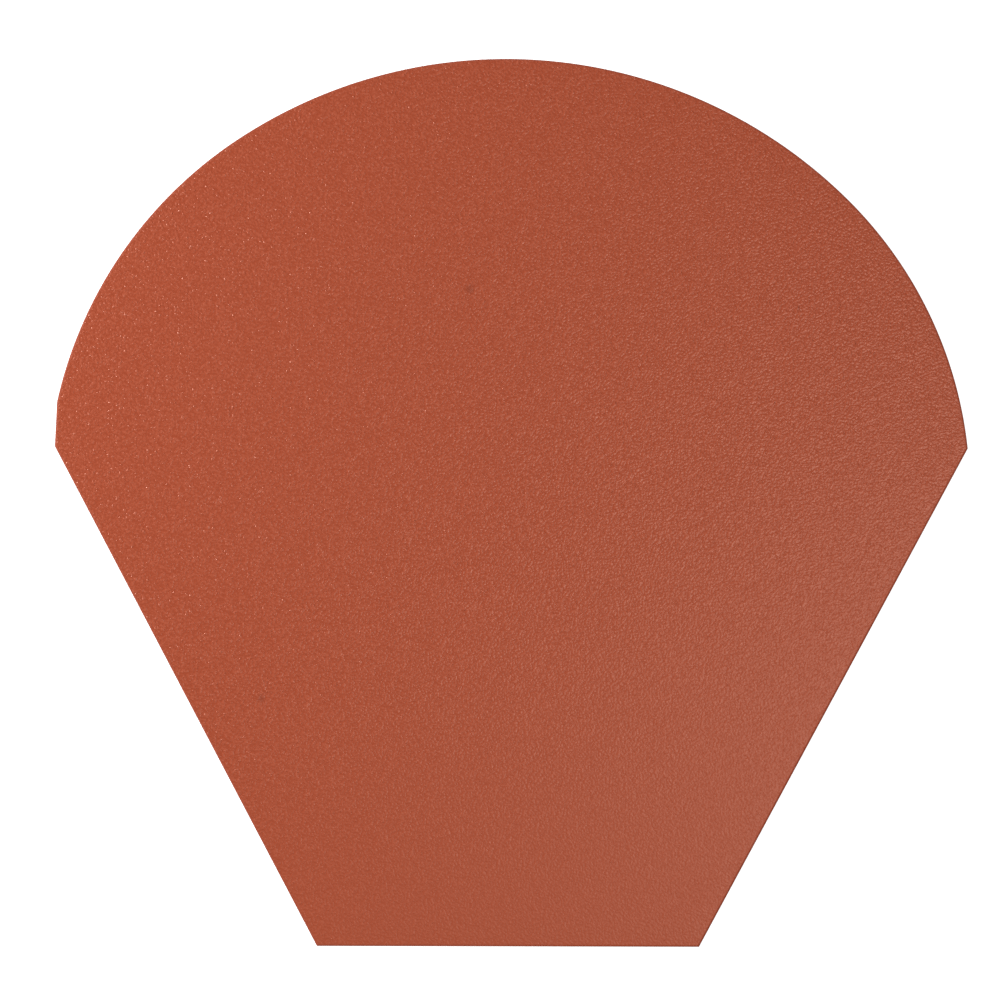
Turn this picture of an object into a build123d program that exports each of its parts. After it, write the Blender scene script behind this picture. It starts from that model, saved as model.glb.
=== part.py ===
from build123d import *
from math import cos, radians, sin
import os

# Flat end cap for a half-round roof ridge, blanked from steel sheet that is coated on its front.
# The sheet lies on its back. Its back face is at Z = 0 and its coated face looks up along +Z.
# +Y runs from the foot to the top of the arch. X = 0 is midway between the shoulders and Y = 0 is
# half way up, so the origin is the middle of the back face's bounding box. All sizes are in mm.

# Sheet
SHEET_THICKNESS = 0.5
EDGE_ROLL = 0.6 * SHEET_THICKNESS  # radius to which the shear draws the coated rim down

# Tapering lower half, which stands between the two roof slopes
SHOULDER_WIDTH = 215.0
TAPER_HEIGHT = 117.5
FOOT_WIDTH = 90.0
FOOT_OFFSET = -0.5  # X of the foot's middle, as it was cut

# Arch over the shoulders: a flat crown that passes into a tighter haunch on each side
ARCH_RISE = 91.5
CROWN_RADIUS = 114.5
CROWN_OFFSET = -1.25  # X of the crown's centre, as it was cut
CROWN_SWEEP_LEFT = 34.0  # degrees from the top of the crown to the left haunch
CROWN_SWEEP_RIGHT = 45.0  # degrees from the top of the crown to the right haunch

# Short straight edge of the blank that the arch cut leaves above the left shoulder
SIDE_FLAT_HEIGHT = 10.5
SIDE_FLAT_SETBACK = 0.5  # its upper end lies this far inside the shoulder

# Corners of the outline, worked out from the sizes above
OVERALL_HEIGHT = TAPER_HEIGHT + ARCH_RISE
FOOT_Y = -OVERALL_HEIGHT / 2
SHOULDER_Y = FOOT_Y + TAPER_HEIGHT
LEFT_SHOULDER = Vector(-SHOULDER_WIDTH / 2, SHOULDER_Y)
RIGHT_SHOULDER = Vector(SHOULDER_WIDTH / 2, SHOULDER_Y)
LEFT_FOOT = Vector(FOOT_OFFSET - FOOT_WIDTH / 2, FOOT_Y)
RIGHT_FOOT = Vector(FOOT_OFFSET + FOOT_WIDTH / 2, FOOT_Y)
SIDE_FLAT_TOP = LEFT_SHOULDER + Vector(SIDE_FLAT_SETBACK, SIDE_FLAT_HEIGHT)
CROWN_CENTRE = Vector(CROWN_OFFSET, FOOT_Y + OVERALL_HEIGHT - CROWN_RADIUS)


def crown_point(sweep):
    """Gives the point of the crown at an angle from its top, in degrees, positive to the right."""
    turn = radians(sweep)
    return CROWN_CENTRE + Vector(sin(turn), cos(turn)) * CROWN_RADIUS


def falling_tangent(sweep):
    """Gives the direction in which the crown falls away from its top at that angle."""
    turn = radians(abs(sweep))
    return Vector(cos(turn) if sweep > 0 else -cos(turn), -sin(turn))


def haunch(sweep, springing):
    """Makes the arc that leaves the crown smoothly at an angle and ends at its springing point."""
    return TangentArc(crown_point(sweep), springing, tangent=falling_tangent(sweep))


def end_cap_plate():
    """Makes the sheet: its outline, its thickness and the rolled rim of its coated face."""
    with BuildPart() as plate:
        with BuildSketch():
            with BuildLine():
                Polyline(SIDE_FLAT_TOP, LEFT_SHOULDER, LEFT_FOOT, RIGHT_FOOT, RIGHT_SHOULDER)
                haunch(CROWN_SWEEP_RIGHT, RIGHT_SHOULDER)
                ThreePointArc(crown_point(CROWN_SWEEP_RIGHT), crown_point(0), crown_point(-CROWN_SWEEP_LEFT))
                haunch(-CROWN_SWEEP_LEFT, SIDE_FLAT_TOP)
            make_face()
        extrude(amount=SHEET_THICKNESS)
        coated_face = plate.faces().sort_by(Axis.Z)[-1]
        fillet(coated_face.edges(), radius=EDGE_ROLL)
    return plate.part


os.makedirs("parts", exist_ok=True)
export_step(end_cap_plate(), "parts/end_cap_plate.step")
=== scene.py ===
"""Dresses the ridge end cap: a flat sheared steel plate with a fine-textured terracotta coat."""

import logging
import math
from dataclasses import dataclass, field
from enum import IntEnum
from typing import Any

import bpy
import numpy as np
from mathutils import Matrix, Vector


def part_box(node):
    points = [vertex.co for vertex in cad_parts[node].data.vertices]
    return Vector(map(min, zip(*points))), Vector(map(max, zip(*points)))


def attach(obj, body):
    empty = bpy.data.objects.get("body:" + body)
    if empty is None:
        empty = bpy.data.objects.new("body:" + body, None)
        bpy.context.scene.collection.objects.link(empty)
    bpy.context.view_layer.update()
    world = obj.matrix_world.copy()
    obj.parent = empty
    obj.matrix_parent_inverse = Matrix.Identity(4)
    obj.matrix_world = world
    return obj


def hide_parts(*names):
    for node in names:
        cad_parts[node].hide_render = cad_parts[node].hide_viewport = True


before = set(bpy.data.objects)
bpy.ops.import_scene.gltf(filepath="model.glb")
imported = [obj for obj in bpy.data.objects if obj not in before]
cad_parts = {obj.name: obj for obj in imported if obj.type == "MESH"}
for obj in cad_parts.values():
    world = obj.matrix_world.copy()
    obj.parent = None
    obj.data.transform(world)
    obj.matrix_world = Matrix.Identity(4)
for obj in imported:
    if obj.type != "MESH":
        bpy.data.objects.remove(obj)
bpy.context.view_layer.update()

NODE = "end_cap_plate"
BODY = "root"
MAP_NAME = "OFBake"
RIM_NAME = "rim"
MM = 0.001
# A mark's reach through the sheet in millimetres, so large that the height of a point makes no difference.
MARK_THROUGH = 1e6

Colour = tuple[float, float, float, float]
Triple = tuple[float, float, float]
Socket = bpy.types.NodeSocket

WHITE: Colour = (1.0, 1.0, 1.0, 1.0)

log = logging.getLogger("ridge_end_cap")


class Side(IntEnum):
    """The finishes of the plate, in the order of its material slots."""

    COATED_FRONT = 0
    CUT_EDGE = 1
    BACKED_REAR = 2


class NodeTree:
    """A short way to write the nodes of a material or of the world."""

    def __init__(self, tree: bpy.types.NodeTree) -> None:
        """Empties the tree.

        Args:
            tree: The node tree to write into.
        """
        self.tree = tree
        tree.nodes.clear()

    def add(self, kind: str, inputs: dict[Any, Any] | None = None, **settings: Any) -> bpy.types.Node:
        """Adds one node.

        Args:
            kind: The node's type, without its ShaderNode prefix.
            inputs: Values or sockets by the name or number of the input that they go to.
            **settings: Properties of the node itself.

        Returns:
            The new node.
        """
        node = self.tree.nodes.new("ShaderNode" + kind)
        for name, value in settings.items():
            setattr(node, name, value)
        for key, value in (inputs or {}).items():
            if isinstance(value, Socket):
                self.tree.links.new(value, node.inputs[key])
            else:
                node.inputs[key].default_value = value
        return node

    def math(self, operation: str, first: Any, second: Any = 0.0, third: Any = 0.0) -> Socket:
        """Adds a Math node and gives its result."""
        return self.add("Math", {0: first, 1: second, 2: third}, operation=operation).outputs[0]

    def mix(self, share: Any, low: Any, high: Any) -> Socket:
        """Mixes two colours by a share from 0 to 1 and gives the result."""
        # The Mix node's colours are its inputs 6 and 7 and its output 2.
        return self.add("Mix", {"Factor": share, 6: low, 7: high}, data_type="RGBA").outputs[2]

    def ramp(self, value: Any, low: float, high: float, start: Any = 0.0, end: Any = 1.0) -> Socket:
        """Maps low to start and high to end, smoothly and within those, and gives the result."""
        inputs = {"Value": value, "From Min": low, "From Max": high, "To Min": start, "To Max": end}
        return self.add("MapRange", inputs, interpolation_type="SMOOTHSTEP").outputs[0]

    def noise(self, place: Socket, per_mm: float, detail: float) -> Socket:
        """Adds a Noise Texture with a number of waves per millimetre and gives its value."""
        return self.add("TexNoise", {"Vector": place, "Scale": per_mm, "Detail": detail}).outputs[0]

    def bump(self, height: Socket, depth_mm: float, strength: Any = 1.0) -> Socket:
        """Adds a Bump node, whose height of 1 is a depth in millimetres, and gives its normal."""
        inputs = {"Strength": strength, "Distance": depth_mm * MM, "Height": height}
        return self.add("Bump", inputs).outputs[0]

    def millimetres(self) -> Socket:
        """Gives the piece's own coordinates, in millimetres."""
        place = self.add("TexCoord").outputs["Object"]
        return self.add("Mapping", {"Vector": place, "Scale": (1 / MM,) * 3}).outputs[0]

    def surface(self, inputs: dict[str, Any]) -> None:
        """Adds a Principled shader and makes it the material's surface.

        Args:
            inputs: Values or sockets by the name of the shader's input.
        """
        shader = self.add("BsdfPrincipled", inputs)
        self.add("OutputMaterial", {"Surface": shader.outputs[0]})


def new_material(name: str) -> tuple[bpy.types.Material, NodeTree]:
    """Makes a material with an empty node tree.

    Args:
        name: The material's name.

    Returns:
        The material and its tree.
    """
    material = bpy.data.materials.new(name)
    material.use_nodes = True
    return material, NodeTree(material.node_tree)


def add_object(name: str, data: bpy.types.ID) -> bpy.types.Object:
    """Makes an object and puts it in the scene.

    Args:
        name: The object's name.
        data: Its mesh, lamp or camera.

    Returns:
        The object.
    """
    made = bpy.data.objects.new(name, data)
    bpy.context.scene.collection.objects.link(made)
    return made


def ring_quads(rings: int, count: int) -> np.ndarray:
    """Joins closed rings of vertices by quads, each ring to the next.

    A quad goes from a vertex to the one beside it, up to the next ring, and back along that.

    Args:
        rings: The number of rings.
        count: The number of vertices in each ring.

    Returns:
        The quads, an array of N by 4.
    """
    here = np.arange(count)
    beside = (here + 1) % count
    low = np.arange(rings - 1)[:, None] * count
    high = low + count
    return np.stack([low + here, low + beside, high + beside, high + here], axis=2).reshape(-1, 4)


@dataclass(frozen=True)
class Mark:
    """A small dark mark in the coat, with its place and size in millimetres."""

    x: float
    y: float
    width: float
    length: float
    turn_deg: float
    depth: float


@dataclass(frozen=True)
class TexturedCoat:
    """The fine-textured terracotta coat of the front, with its lengths in millimetres.

    The grain is a fine noise, and small beads stand out of it. Its colour is painted paler on the grain's
    tops and deeper in its hollows, as painted light and shade of the relief. Along soft_way the relief falls
    from full at soft_from to soft_share at soft_to, and the coat gets duller by soft_roughness. Where the
    coat is drawn over the rim it is duller, and its colour is darkened there as painted shade.
    """

    # deep and pale carry painted shade and light: the coat is deep in the grain's hollows and pale on its
    # tops
    deep: Colour = (0.406, 0.0628, 0.0211, 1.0)
    pale: Colour = (0.503, 0.1005, 0.0455, 1.0)
    # The colour of the marks, which are stains, and of the painted shade along the rim
    stain_and_rim_shade: Colour = (0.120, 0.0200, 0.0100, 1.0)
    # Painted light and shade of the grain: the share of pale that follows the grain's height
    painted_relief_low: float = 0.36
    painted_relief_high: float = 0.80
    painted_relief_mean: float = 0.26
    gloss: Colour = (0.92, 0.545, 0.43, 1.0)
    gloss_level: float = 1.0
    roughness: float = 0.28
    roughness_swing: float = 0.02
    patch_per_mm: float = 0.6
    patch_detail: float = 3.0
    patch_low: float = 0.3
    patch_high: float = 0.7
    grain_per_mm: float = 2.0
    grain_detail: float = 0.7
    grain_height: float = 0.145
    grain_turn: Triple = (0.6, 0.4, 0.5)
    bead_per_mm: float = 1.1
    bead_radius: float = 0.32
    bead_height: float = 0.07
    bead_rarity: float = 1.6
    bead_roughness: float = 0.36
    bead_dull_share: float = 0.3
    soft_way: Triple = (-0.45, 0.9, 0.0)
    soft_from: float = 0.0
    soft_to: float = -105.0
    soft_share: float = 0.45
    soft_roughness: float = 0.085
    rim_start: float = 0.05
    rim_full: float = 0.4
    # Painted shade: how far the colour darkens along the rolled rim
    rim_shade_share: float = 0.17
    rim_roughness: float = 0.45
    relief_depth: float = 1.0
    marks: tuple[Mark, ...] = (
        Mark(-9.9, 50.3, 3.3, 3.3, 0.0, 0.33),
        Mark(-58.8, -46.2, 3.0, 3.0, 0.0, 0.30),
        Mark(67.6, 46.0, 0.7, 2.0, 10.0, 0.60),
    )

    def material(self) -> bpy.types.Material:
        """Makes the coat's material.

        Returns:
            The material.
        """
        material, tree = new_material("textured_terracotta_coat")
        place = tree.millimetres()
        turned = tree.add("Mapping", {"Vector": place, "Rotation": self.grain_turn}).outputs[0]
        grain = tree.noise(turned, self.grain_per_mm, self.grain_detail)
        bead = self.beads(tree, place)
        height = tree.math("MULTIPLY", grain, self.grain_height)
        height = tree.math("MULTIPLY_ADD", bead, self.bead_height, height)
        slant = tree.add("VectorMath", {0: place, 1: self.soft_way}, operation="DOT_PRODUCT")
        along = slant.outputs["Value"]
        depth = tree.ramp(along, self.soft_to, self.soft_from, self.soft_share, 1.0)
        rim = self.rim_rise(tree)
        tree.surface({
            "Base Color": self.colour(tree, place, grain, depth, rim),
            "Roughness": self.dullness(tree, place, bead, along, rim),
            "Specular IOR Level": self.gloss_level,
            "Specular Tint": self.gloss,
            "Normal": tree.bump(height, self.relief_depth, depth),
        })
        return material

    def beads(self, tree: NodeTree, place: Socket) -> Socket:
        """Adds the small smooth beads that stand out of the grain here and there.

        A bead stands at one random point of each cell, and most are much lower than the highest.

        Args:
            tree: The material's tree.
            place: Coordinates in millimetres.

        Returns:
            The beads' height, as a share of the highest.
        """
        inputs = {"Vector": place, "Scale": self.bead_per_mm}
        cells = tree.add("TexVoronoi", inputs, voronoi_dimensions="2D")
        bead = tree.ramp(cells.outputs["Distance"], 0.0, self.bead_radius * self.bead_per_mm, 1.0, 0.0)
        chance = tree.add("SeparateColor", {0: cells.outputs["Color"]}).outputs[0]
        return tree.math("MULTIPLY", bead, tree.math("POWER", chance, self.bead_rarity))

    def rim_rise(self, tree: NodeTree) -> Socket:
        """Gives how far the coat takes on the rim's dullness and painted shade: 0 on the flat front and 1 on
        the roll.
        """
        rim = tree.add("Attribute", attribute_name=RIM_NAME).outputs["Fac"]
        return tree.ramp(rim, self.rim_start, self.rim_full)

    def dullness(self, tree: NodeTree, place: Socket, bead: Socket, along: Socket, rim: Socket) -> Socket:
        """Adds the coat's roughness: a little uneven, and more on beads, at the soft end and at the rim.

        Args:
            tree: The material's tree.
            place: Coordinates in millimetres.
            bead: The beads' height, as a share of the highest.
            along: The distance along soft_way.
            rim: How far the coat takes on the look of the rim, from 0 to 1.

        Returns:
            The roughness.
        """
        low = self.roughness - self.roughness_swing
        high = self.roughness + self.roughness_swing
        patches = tree.noise(place, self.patch_per_mm, self.patch_detail)
        between = tree.ramp(patches, self.patch_low, self.patch_high, low, high)
        rough = tree.ramp(bead, 0.0, self.bead_dull_share, between, self.bead_roughness)
        soft = tree.ramp(along, self.soft_to, self.soft_from, self.soft_roughness, 0.0)
        return tree.math("MULTIPLY_ADD", rim, self.rim_roughness, tree.math("ADD", rough, soft))

    def colour(self, tree: NodeTree, place: Socket, grain: Socket, depth: Socket, rim: Socket) -> Socket:
        """Adds the coat's colour: painted shade in the hollows and painted light on the tops, dark in the
        marks, and painted shade at the rim.

        Args:
            tree: The material's tree.
            place: Coordinates in millimetres.
            grain: The grain's noise, from 0 to 1.
            depth: How deep the grain is there, from 0 to 1.
            rim: How far the coat takes on the rim's painted shade, from 0 to 1.

        Returns:
            The colour.
        """
        # Painted light and shade: the colour is paler where the grain's noise is high and deeper where it is
        # low, following the relief
        swing = tree.ramp(grain, self.painted_relief_low, self.painted_relief_high, -self.painted_relief_mean, 1 - self.painted_relief_mean)
        colour = tree.mix(tree.math("MULTIPLY_ADD", swing, depth, self.painted_relief_mean), self.deep, self.pale)
        for mark in self.marks:
            colour = tree.mix(self.mark_share(tree, place, mark), colour, self.stain_and_rim_shade)
        # Painted shade: the colour darkens towards the stain colour along the rolled rim
        return tree.mix(tree.math("MULTIPLY", rim, self.rim_shade_share), colour, self.stain_and_rim_shade)

    def mark_share(self, tree: NodeTree, place: Socket, mark: Mark) -> Socket:
        """Gives how far a mark darkens the coat: its depth at the middle of an ellipse, and none at its rim.

        Args:
            tree: The material's tree.
            place: Coordinates in millimetres.
            mark: The mark.

        Returns:
            The share, from 0 to the mark's depth.
        """
        own = tree.add("Mapping", {
            "Vector": place,
            "Location": (mark.x, mark.y, 0.0),
            "Rotation": (0.0, 0.0, math.radians(mark.turn_deg)),
            "Scale": (mark.width / 2, mark.length / 2, MARK_THROUGH),
        }, vector_type="TEXTURE").outputs[0]
        reach = tree.add("VectorMath", {0: own}, operation="LENGTH").outputs["Value"]
        return tree.ramp(reach, 0.0, 1.0, mark.depth, 0.0)


@dataclass(frozen=True)
class CutSteel:
    """The sheared steel of the rim: a bright smooth band under the coat and a dull torn one below it.

    Lengths are in millimetres. The bands meet between tear_low and tear_high above the back, on a line
    that wavers with the grain.
    """

    bright: Colour = (0.50, 0.50, 0.50, 1.0)
    dull: Colour = (0.26, 0.26, 0.27, 1.0)
    bright_roughness: float = 0.35
    dull_roughness: float = 0.55
    tear_low: float = 0.10
    tear_high: float = 0.16
    tear_waver: float = 0.06
    grain_per_mm: float = 6.0
    grain_detail: float = 3.0
    grain_depth: float = 0.02
    grain_strength: float = 0.6

    def material(self) -> bpy.types.Material:
        """Makes the cut edge's material.

        Returns:
            The material.
        """
        material, tree = new_material("sheared_steel_edge")
        place = tree.millimetres()
        height = tree.add("SeparateXYZ", {0: place}).outputs["Z"]
        grain = tree.noise(place, self.grain_per_mm, self.grain_detail)
        level = tree.math("MULTIPLY_ADD", grain, self.tear_waver, height)
        smooth = tree.ramp(level, self.tear_low, self.tear_high)
        tree.surface({
            "Base Color": tree.mix(smooth, self.dull, self.bright),
            "Metallic": 1.0,
            "Roughness": tree.ramp(smooth, 0.0, 1.0, self.dull_roughness, self.bright_roughness),
            "Normal": tree.bump(grain, self.grain_depth, self.grain_strength),
        })
        return material


@dataclass(frozen=True)
class BackingCoat:
    """The thin plain coat of the back, faintly clouded and with a fine peel, in millimetres."""

    grey: Colour = (0.462, 0.472, 0.470, 1.0)
    paler: Colour = (0.482, 0.492, 0.490, 1.0)
    grey_roughness: float = 0.42
    paler_roughness: float = 0.52
    cloud_per_mm: float = 0.05
    cloud_detail: float = 4.0
    cloud_low: float = 0.3
    cloud_high: float = 0.7
    peel_per_mm: float = 1.2
    peel_detail: float = 2.0
    peel_depth: float = 0.006

    def material(self) -> bpy.types.Material:
        """Makes the backing coat's material.

        Returns:
            The material.
        """
        material, tree = new_material("light_grey_backing_coat")
        place = tree.millimetres()
        cloud = tree.noise(place, self.cloud_per_mm, self.cloud_detail)
        share = tree.ramp(cloud, self.cloud_low, self.cloud_high)
        rough = tree.ramp(cloud, self.cloud_low, self.cloud_high, self.grey_roughness, self.paler_roughness)
        tree.surface({
            "Base Color": tree.mix(share, self.grey, self.paler),
            "Roughness": rough,
            "Normal": tree.bump(tree.noise(place, self.peel_per_mm, self.peel_detail), self.peel_depth),
        })
        return material


@dataclass(frozen=True)
class Stretch:
    """One smooth stretch of the outline, without its last point."""

    points: np.ndarray
    normals: np.ndarray
    last_normal: np.ndarray


@dataclass
class CapOutline:
    """The plate's outline seen from its front, in metres and degrees, with the foot at the bottom."""

    left: float
    right: float
    foot: float
    taper_height: float = 117.5 * MM
    arch_rise: float = 91.5 * MM
    foot_width: float = 90.0 * MM
    foot_offset: float = -0.5 * MM
    crown_radius: float = 114.5 * MM
    crown_offset: float = -1.25 * MM
    crown_sweep_left: float = 34.0
    crown_sweep_right: float = 45.0
    side_flat_height: float = 10.5 * MM
    side_flat_setback: float = 0.5 * MM
    spacing: float = 1.2 * MM

    def straight(self, start: np.ndarray, end: np.ndarray) -> Stretch:
        """Gives evenly spaced points on a straight line, with the outside on its right.

        Args:
            start: The first point.
            end: The point after the last.

        Returns:
            The stretch.
        """
        run = end - start
        length = float(np.hypot(*run))
        count = max(2, round(length / self.spacing))
        share = np.arange(count)[:, None] / count
        normal = np.array([run[1], -run[0]]) / length
        return Stretch(start + share * run, np.tile(normal, (count, 1)), normal)

    def arc(self, centre: np.ndarray, radius: float, start: float, end: float) -> Stretch:
        """Gives points on a circle, its centre plus the radius along each angle.

        Args:
            centre: The circle's centre.
            radius: Its radius.
            start: The first angle, in radians from +X.
            end: The angle after the last.

        Returns:
            The stretch.
        """
        count = max(2, round(abs(end - start) * radius / self.spacing))
        angle = start + (end - start) * np.arange(count) / count
        normals = np.column_stack([np.cos(angle), np.sin(angle)])
        return Stretch(centre + radius * normals, normals, np.array([math.cos(end), math.sin(end)]))

    def haunch(
        self,
        crown: np.ndarray,
        angle: float,
        springing: np.ndarray,
    ) -> tuple[np.ndarray, float, float]:
        """Works out the arc that leaves the crown smoothly at an angle and ends at its springing point.

        Its centre lies on the crown's radius there. With u along that radius and v from the joint to the
        springing point, the radius that reaches both is minus v squared over twice v along u.

        Args:
            crown: The crown's centre.
            angle: Where the haunch leaves the crown, in radians from +X.
            springing: The haunch's other end.

        Returns:
            The haunch's centre, its radius and the angle of its springing point.
        """
        along = np.array([math.cos(angle), math.sin(angle)])
        joint = crown + self.crown_radius * along
        reach = springing - joint
        radius = float(-(reach @ reach) / (2 * (reach @ along)))
        centre = joint - radius * along
        return centre, radius, math.atan2(*(springing - centre)[::-1])

    def stretches(self) -> list[Stretch]:
        """Works out the foot, the sides, the short edge above the left shoulder and the arch's arcs.

        Returns:
            The smooth stretches, from the left end of the foot and to the right along it.
        """
        shoulder = self.foot + self.taper_height
        left_shoulder = np.array([self.left, shoulder])
        right_shoulder = np.array([self.right, shoulder])
        middle = (self.left + self.right) / 2 + self.foot_offset
        left_foot = np.array([middle - self.foot_width / 2, self.foot])
        right_foot = np.array([middle + self.foot_width / 2, self.foot])
        flat_top = left_shoulder + [self.side_flat_setback, self.side_flat_height]
        crown = np.array([self.crown_offset, shoulder + self.arch_rise - self.crown_radius])
        right_joint = math.radians(90.0 - self.crown_sweep_right)
        left_joint = math.radians(90.0 + self.crown_sweep_left)
        right_centre, right_radius, right_end = self.haunch(crown, right_joint, right_shoulder)
        left_centre, left_radius, left_end = self.haunch(crown, left_joint, flat_top)
        return [
            self.straight(left_foot, right_foot),
            self.straight(right_foot, right_shoulder),
            self.arc(right_centre, right_radius, right_end, right_joint),
            self.arc(crown, self.crown_radius, right_joint, left_joint),
            self.arc(left_centre, left_radius, left_joint, left_end),
            self.straight(flat_top, left_shoulder),
            self.straight(left_shoulder, left_foot),
        ]

    def trace(self) -> tuple[np.ndarray, np.ndarray]:
        """Gives the closed outline and its mitres.

        A mitre is the way a point moves when the outline grows by 1 all round: the sum of the normals on
        its two sides over 1 plus their product, which is the normal itself on a smooth stretch.

        Returns:
            The points and the mitres, each an array of N by 2.
        """
        stretches = self.stretches()
        points = np.concatenate([stretch.points for stretch in stretches])
        after = np.concatenate([stretch.normals for stretch in stretches])
        before = after.copy()
        firsts = np.cumsum([0] + [len(stretch.points) for stretch in stretches[:-1]])
        before[firsts] = [stretch.last_normal for stretch in stretches[-1:] + stretches[:-1]]
        return points, (before + after) / (1 + np.sum(before * after, axis=1, keepdims=True))


@dataclass
class Section:
    """The plate's section from the middle of its back, round the rim and to the middle of its front.

    Each entry is one ring of the plate. A ring is the outline moved in by inset and then shrunk towards
    the plate's middle, at its height. Its unfold is how far the ring lies outside the front's edge when
    the rim is pressed flat, and its rim is 1 at the outline and 0 where the front is flat. Its side is
    the finish between it and the next ring.
    """

    shrink: np.ndarray
    inset: np.ndarray
    height: np.ndarray
    unfold: np.ndarray
    rim: np.ndarray
    side: np.ndarray


@dataclass
class EndCapPlate:
    """The sheared plate, with the coated rim drawn down all round and a square rim at the back, in metres."""

    outline: CapOutline
    thickness: float
    roll_depth: float = 0.3 * MM
    roll_width: float = 0.6 * MM
    roll_steps: int = 10
    wall_steps: int = 2
    face_rings: int = 22
    sharp_deg: float = 40.0
    front_share: float = 0.88
    rear_share: float = 0.22
    map_margin: float = 0.008
    coat: TexturedCoat = field(default_factory=TexturedCoat)
    edge: CutSteel = field(default_factory=CutSteel)
    backing: BackingCoat = field(default_factory=BackingCoat)

    def section(self) -> Section:
        """Works out the rings.

        The faces' rings are the outline shrunk in even steps. The wall stands straight up from the back,
        and the roll is a quarter of an ellipse from the wall's top to the front.

        Returns:
            The section.
        """
        grow = np.linspace(0.0, 1.0, self.face_rings + 1)[1:]
        wall = np.linspace(0.0, self.thickness - self.roll_depth, self.wall_steps + 1)[1:]
        turn = np.linspace(0.0, math.pi / 2, self.roll_steps + 1)[1:]
        fall = np.linspace(1.0, 0.0, self.face_rings)[1:-1]
        rim_inset = np.concatenate([np.zeros(1 + len(wall)), self.roll_width * (1 - np.cos(turn))])
        rim_height = np.concatenate([[0.0], wall, self.thickness - self.roll_depth * (1 - np.sin(turn))])
        steps = np.hypot(np.diff(rim_inset), np.diff(rim_height))
        rim_unfold = np.append(np.cumsum(steps[::-1])[::-1], 0.0)
        inside = np.ones(len(grow) - 1)
        front = np.ones(len(fall))
        return Section(
            shrink=np.concatenate([grow, np.ones(len(steps)), fall]),
            inset=np.concatenate([0 * inside, rim_inset, self.roll_width * front]),
            height=np.concatenate([0 * inside, rim_height, self.thickness * front]),
            unfold=np.concatenate([rim_unfold[0] * inside, rim_unfold, 0 * front]),
            rim=np.concatenate([inside, 1 - rim_inset / self.roll_width, 0 * front]),
            side=np.concatenate([
                np.full(len(inside), Side.BACKED_REAR),
                np.full(len(wall), Side.CUT_EDGE),
                np.full(len(turn) + len(front), Side.COATED_FRONT),
            ]),
        )

    def faces(self, rings: int, count: int) -> list[list[int]]:
        """Joins the rings by quads, and each face's innermost ring to its middle by a fan of triangles.

        Args:
            rings: The number of rings.
            count: The number of vertices in each ring. The back's middle and the front's come after them.

        Returns:
            The faces: the quads, then the back's fan and the front's.
        """
        here = np.arange(count)
        beside = (here + 1) % count
        last = (rings - 1) * count
        rear_fan = np.stack([np.full(count, rings * count), beside, here], axis=1)
        front_fan = np.stack([np.full(count, rings * count + 1), last + here, last + beside], axis=1)
        return ring_quads(rings, count).tolist() + rear_fan.tolist() + front_fan.tolist()

    def build(self) -> bpy.types.Object:
        """Makes the plate's mesh: each ring is its shrink times the outline less its inset along the mitres.

        Returns:
            The plate.
        """
        section = self.section()
        points, mitres = self.outline.trace()
        rings, count = len(section.shrink), len(points)
        flat = section.shrink[:, None, None] * (points - section.inset[:, None, None] * mitres)
        tall = np.broadcast_to(section.height[:, None, None], (rings, count, 1))
        middles = [[0.0, 0.0, 0.0], [0.0, 0.0, self.thickness]]
        vertices = np.concatenate([np.concatenate([flat, tall], axis=2).reshape(-1, 3), middles])
        mesh = bpy.data.meshes.new("ridge_end_cap")
        mesh.from_pydata(vertices, [], self.faces(rings, count))

        fans = [np.full(count, Side.BACKED_REAR), np.full(count, Side.COATED_FRONT)]
        sides = np.concatenate([np.repeat(section.side, count), *fans])
        mesh.polygons.foreach_set("material_index", sides.astype(np.int32))
        mesh.polygons.foreach_set("use_smooth", np.ones(len(sides), dtype=bool))
        mesh.set_sharp_from_angle(angle=math.radians(self.sharp_deg))
        rim = np.concatenate([np.repeat(section.rim, count), [1.0, 0.0]])
        mesh.attributes.new(RIM_NAME, "FLOAT", "POINT").data.foreach_set("value", rim.astype(np.float32))

        spread = points + (section.unfold - self.roll_width)[:, None, None] * mitres
        pressed = np.where((section.unfold > 0)[:, None, None], spread, flat)
        middle_places = np.zeros((2, 2))
        front = np.concatenate([pressed.reshape(-1, 2), middle_places])
        rear = np.concatenate([flat.reshape(-1, 2), middle_places])
        self.lay_map(mesh, front, rear, sides)
        mesh.validate()
        mesh.update()
        return add_object("ridge_end_cap", mesh)

    def lay_map(self, mesh: bpy.types.Mesh, front: np.ndarray, rear: np.ndarray, sides: np.ndarray) -> None:
        """Lays the plate flat in its map: the front with its rim spread out, and the back small in a corner.

        Args:
            mesh: The plate's mesh.
            front: Each vertex's place when the front and the rim are pressed flat.
            rear: Each vertex's place on the back.
            sides: Each face's finish.
        """
        span = float(np.ptp(front, axis=0).max())
        front_map = self.map_margin + (front - front.min(axis=0)) / span * self.front_share
        turned = rear * [-1.0, 1.0]
        corner = np.array([1.0 - self.map_margin - self.rear_share, self.map_margin])
        rear_map = corner + (turned - turned.min(axis=0)) / span * self.rear_share
        owner = np.empty(len(mesh.loops), dtype=np.int32)
        mesh.loops.foreach_get("vertex_index", owner)
        corners = np.empty(len(mesh.polygons), dtype=np.int32)
        mesh.polygons.foreach_get("loop_total", corners)
        is_rear = np.repeat(sides == Side.BACKED_REAR, corners)[:, None]
        places = np.where(is_rear, rear_map[owner], front_map[owner])
        layer = mesh.uv_layers.new(name=MAP_NAME)
        layer.data.foreach_set("uv", places.astype(np.float32).ravel())

    def dress(self, plate: bpy.types.Object) -> None:
        """Gives the plate its three finishes, in the order of Side.

        Args:
            plate: The plate.
        """
        for finish in (self.coat, self.edge, self.backing):
            plate.data.materials.append(finish.material())


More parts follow.
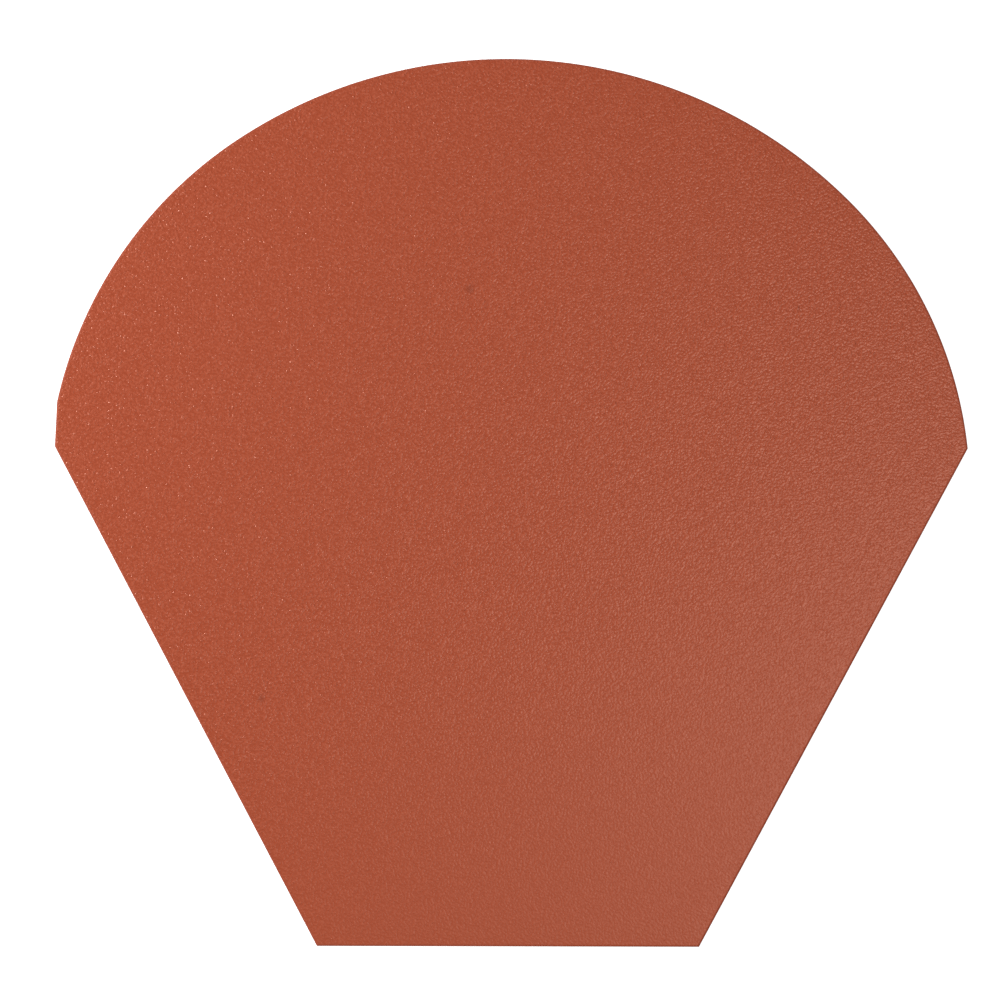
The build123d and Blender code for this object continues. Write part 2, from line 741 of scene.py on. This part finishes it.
@dataclass(frozen=True)
class Lamp:
    """A square studio lamp that points at the plate, in metres and watts."""

    name: str
    place: Triple
    watts: float
    side: float

    def hang(self) -> None:
        """Puts the lamp in the scene."""
        light = bpy.data.lights.new(self.name, "AREA")
        light.shape = "SQUARE"
        light.size = self.side
        light.energy = self.watts
        lamp = add_object(self.name, light)
        lamp.location = self.place
        lamp.rotation_euler = (-Vector(self.place)).to_track_quat("-Z", "Y").to_euler()


@dataclass(frozen=True)
class PhotoCamera:
    """The camera above the plate, in metres and degrees unless the name says otherwise."""

    image_px: int = 1000
    px_per_mm: float = 4.2466
    lens_mm: float = 100.0
    sensor_mm: float = 36.0
    nearest: float = 10 * MM
    aim_x: float = -2.63 * MM
    aim_y: float = 2.26 * MM
    roll_deg: float = 0.1424

    def stand(self, rim_height: float) -> None:
        """Puts the camera straight above its aim, where the rim shows at its pixels per millimetre.

        Args:
            rim_height: The height at which the plate is widest and its outline shows.
        """
        data = bpy.data.cameras.new("photo_camera")
        data.lens = self.lens_mm
        data.sensor_width = self.sensor_mm
        data.clip_start = self.nearest
        frame_width = self.image_px / self.px_per_mm * MM
        distance = frame_width * self.lens_mm / self.sensor_mm
        camera = add_object("photo_camera", data)
        camera.location = (self.aim_x, self.aim_y, rim_height + distance)
        camera.rotation_euler = (0.0, 0.0, math.radians(self.roll_deg))
        bpy.context.scene.camera = camera


@dataclass
class Studio:
    """The white floor, the lamps and the soft light all round, in metres."""

    surround: float = 0.34
    floor_radius: float = 2.4
    floor_rise: float = 1.0
    floor_drop: float = 0.05 * MM
    floor_corners: int = 96
    rise_steps: int = 12
    floor_white: float = 0.8
    floor_glow: float = 0.8
    lamps: tuple[Lamp, ...] = (
        Lamp("left_lamp", (-0.612, 0.181, 0.428), 4.25, 0.12),
        Lamp("right_softbox", (0.376, -0.198, 1.2), 2.30, 0.35),
    )

    def light_world(self) -> None:
        """Makes the surround: a soft light, even all round."""
        world = bpy.data.worlds.new("studio_surround")
        world.use_nodes = True
        tree = NodeTree(world.node_tree)
        glow = tree.add("Background", {"Color": WHITE, "Strength": self.surround})
        tree.add("OutputWorld", {"Surface": glow.outputs[0]})
        bpy.context.scene.world = world

    def lay_floor(self) -> bpy.types.Object:
        """Makes the floor, which rises all round the scene.

        It is a flat disc, and from its rim a quarter of a circle that is carried round the scene: the rise
        times the sine of the turn outwards, and the rise times 1 minus its cosine upwards.

        Returns:
            The floor.
        """
        turn = np.linspace(0.0, math.pi / 2, self.rise_steps + 1)[:, None]
        around = np.linspace(0.0, 2 * math.pi, self.floor_corners, endpoint=False)
        reach = self.floor_radius + self.floor_rise * np.sin(turn)
        height = self.floor_rise * (1 - np.cos(turn)) - self.floor_drop + 0 * around
        vertices = np.stack([reach * np.cos(around), reach * np.sin(around), height], axis=2).reshape(-1, 3)
        disc = np.arange(self.floor_corners).tolist()
        # Each quad keeps its first vertex and goes the other way round, because the floor faces inwards.
        rise = ring_quads(self.rise_steps + 1, self.floor_corners)[:, [0, 3, 2, 1]].tolist()
        mesh = bpy.data.meshes.new("studio_floor")
        mesh.from_pydata(vertices, [], [disc] + rise)
        mesh.polygons.foreach_set("use_smooth", np.ones(len(mesh.polygons), dtype=bool))
        mesh.materials.append(self.floor_material())
        return add_object("studio_floor", mesh)

    def floor_material(self) -> bpy.types.Material:
        """Makes the floor's matt white, which takes shadows and looks white to the camera, metal and glass.

        Returns:
            The material.
        """
        material, tree = new_material("white_floor")
        path = tree.add("LightPath")
        seen = tree.math("MAXIMUM", path.outputs["Is Camera Ray"], path.outputs["Is Glossy Ray"])
        seen = tree.math("MAXIMUM", seen, path.outputs["Is Transmission Ray"])
        matt = tree.add("BsdfDiffuse", {"Color": (self.floor_white,) * 3 + (1.0,)})
        glow = tree.add("Emission", {"Strength": tree.math("MULTIPLY", seen, self.floor_glow)})
        both = tree.add("AddShader", {0: matt.outputs[0], 1: glow.outputs[0]})
        tree.add("OutputMaterial", {"Surface": both.outputs[0]})
        return material

    def set_up(self) -> None:
        """Lights the scene and lays the floor."""
        self.light_world()
        for lamp in self.lamps:
            lamp.hang()
        self.lay_floor()
        bpy.context.scene.view_settings.view_transform = "Standard"
        # The coat's grain is about as fine as a pixel, and a denoiser would take it for noise.
        bpy.context.scene.cycles.use_denoising = False


def main() -> None:
    """Builds the plate and its studio."""
    logging.basicConfig(level=logging.INFO, format="%(name)s: %(message)s")
    low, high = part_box(NODE)
    outline = CapOutline(left=low[0], right=high[0], foot=low[1])
    cap = EndCapPlate(outline=outline, thickness=high[2] - low[2])
    plate = cap.build()
    cap.dress(plate)
    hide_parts(NODE)
    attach(plate, BODY)
    log.info("%s: %d faces", plate.name, len(plate.data.polygons))
    PhotoCamera().stand(high[2] - cap.roll_depth)
    Studio().set_up()


if __name__ == "__main__":
    main()
